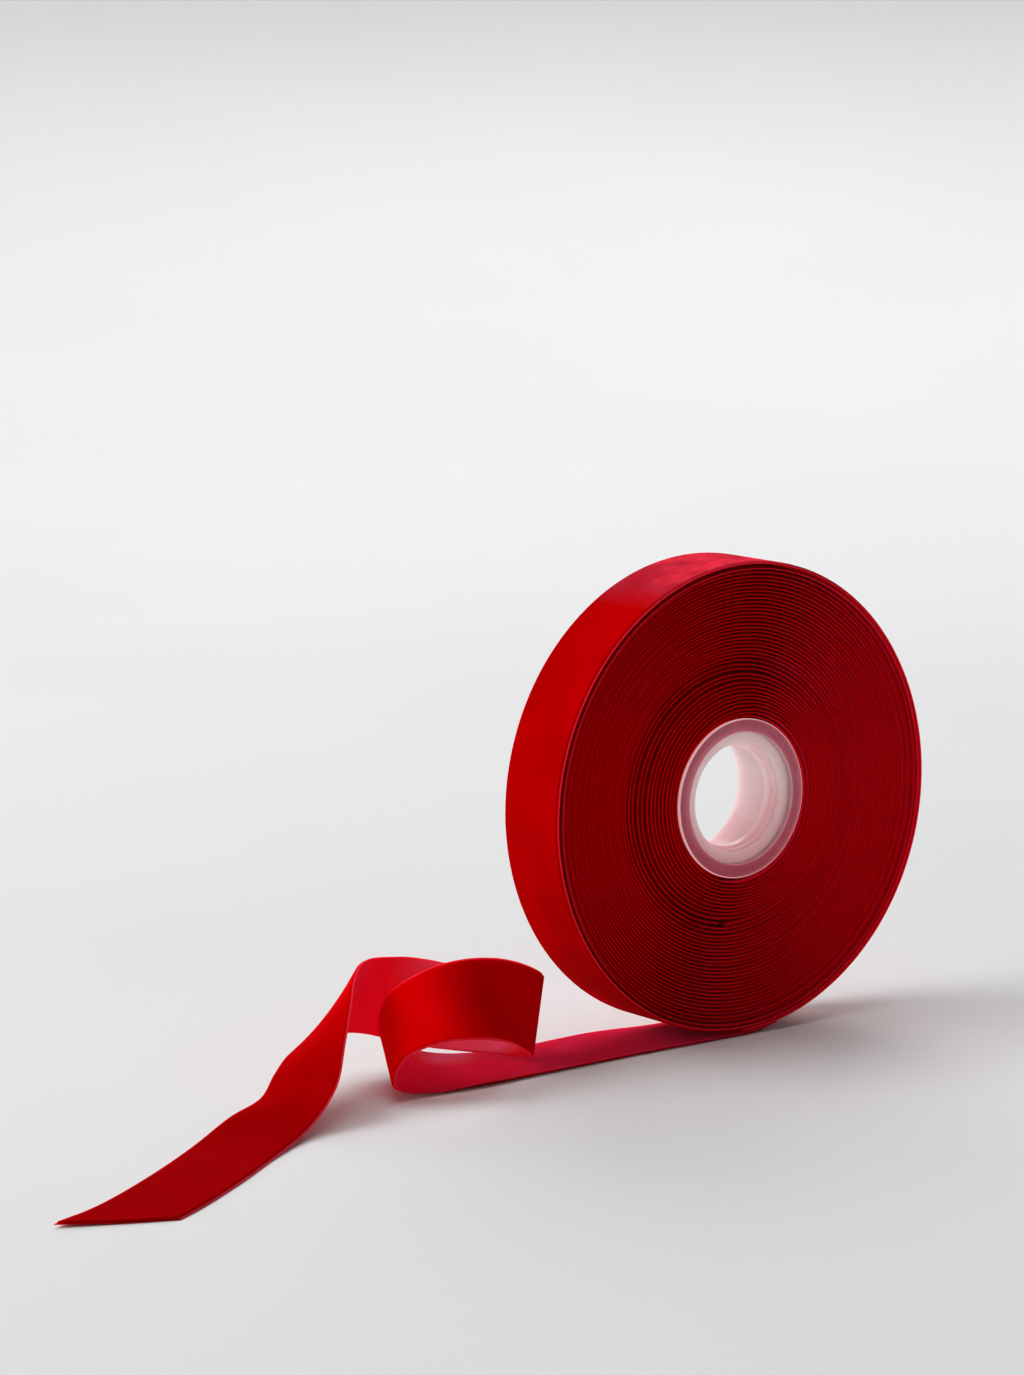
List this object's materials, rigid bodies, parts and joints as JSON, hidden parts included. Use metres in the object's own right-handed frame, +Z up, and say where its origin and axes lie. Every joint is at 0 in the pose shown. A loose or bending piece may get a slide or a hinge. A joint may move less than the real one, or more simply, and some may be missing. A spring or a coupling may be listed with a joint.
{
  "type": "ribbon roll",
  "caption": "Roll of single-face velvet ribbon on a two-part flanged hub, standing on its rim, its free end laid out in a curl and a diagonal fold.",
  "frame": {"origin": "on the spindle axis, halfway across the ribbon's width", "axes": "+Z up, +Y along the spindle axis towards the back of the roll, -X the way the free end leaves the bottom of the roll"},
  "size_m": [0.2987, 0.0848, 0.125],
  "materials": {
    "velvet": "velvet pile on one face, plain satin on the other",
    "hub_plastic": "translucent natural",
    "tab_paper": "matte"
  },
  "bodies": {
    "laid_tail": {"ribbon_floor_run": "velvet", "ribbon_loop": "velvet", "ribbon_free_end": "velvet"},
    "contact": {"ribbon_contact": "velvet"},
    "roll": {"hub_front_cap": "hub_plastic", "hub_rear_core": "hub_plastic", "core_tape_tab": "tab_paper", "ribbon_inner_winding": "velvet", "ribbon_outer_winding": "velvet", "ribbon_slack_wraps": "velvet"}
  },
  "joints": [
    {"name": "roll_travel", "type": "slide", "parent": "laid_tail", "child": "contact", "axis": [1, 0, 0], "range_m": [0, 0.3925], "deforming": ["ribbon_floor_run"]},
    {"name": "roll_spin", "type": "hinge", "parent": "contact", "child": "roll", "pos_m": [0, 0, 0], "axis": [0, 1, 0], "range_deg": [0, 360]}
  ],
  "couplings": [
    {"joint": "roll_spin", "follows": "roll_travel", "rad_per_m": 16}
  ]
}
